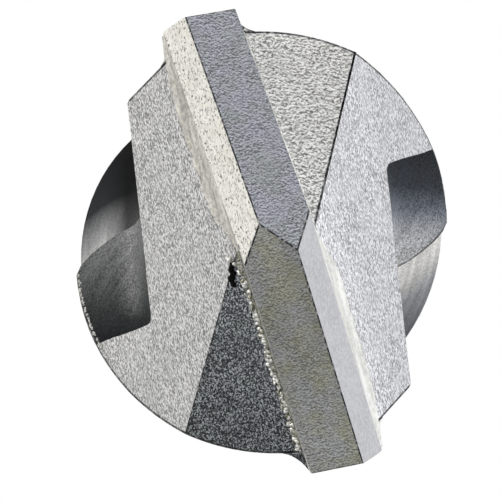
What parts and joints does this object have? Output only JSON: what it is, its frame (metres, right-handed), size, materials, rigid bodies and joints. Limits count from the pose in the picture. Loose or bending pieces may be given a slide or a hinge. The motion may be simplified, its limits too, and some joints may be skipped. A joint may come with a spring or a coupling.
{
  "type": "hammer drill bit",
  "caption": "Hammer drill bit for masonry: grooved shank, twisted flutes and a brazed carbide cutting plate across the head.",
  "frame": {"origin": "centre of the shank's flat end face, on the bit's axis", "axes": "+Z along the axis from the shank to the tip, +Y along the carbide plate, +X square to the plate"},
  "size_m": [0.0182, 0.0204, 0.2],
  "materials": {
    "steel": "fine blasted head, smooth bright flutes, ground shank",
    "carbide": "sintered tungsten carbide, ground facets with fine grain",
    "braze": "pale silver-brass braze, soft and slightly rough"
  },
  "bodies": {
    "root": {"steel_body": "steel", "carbide_tip": "carbide", "braze_joint": "braze"}
  },
  "joints": []
}
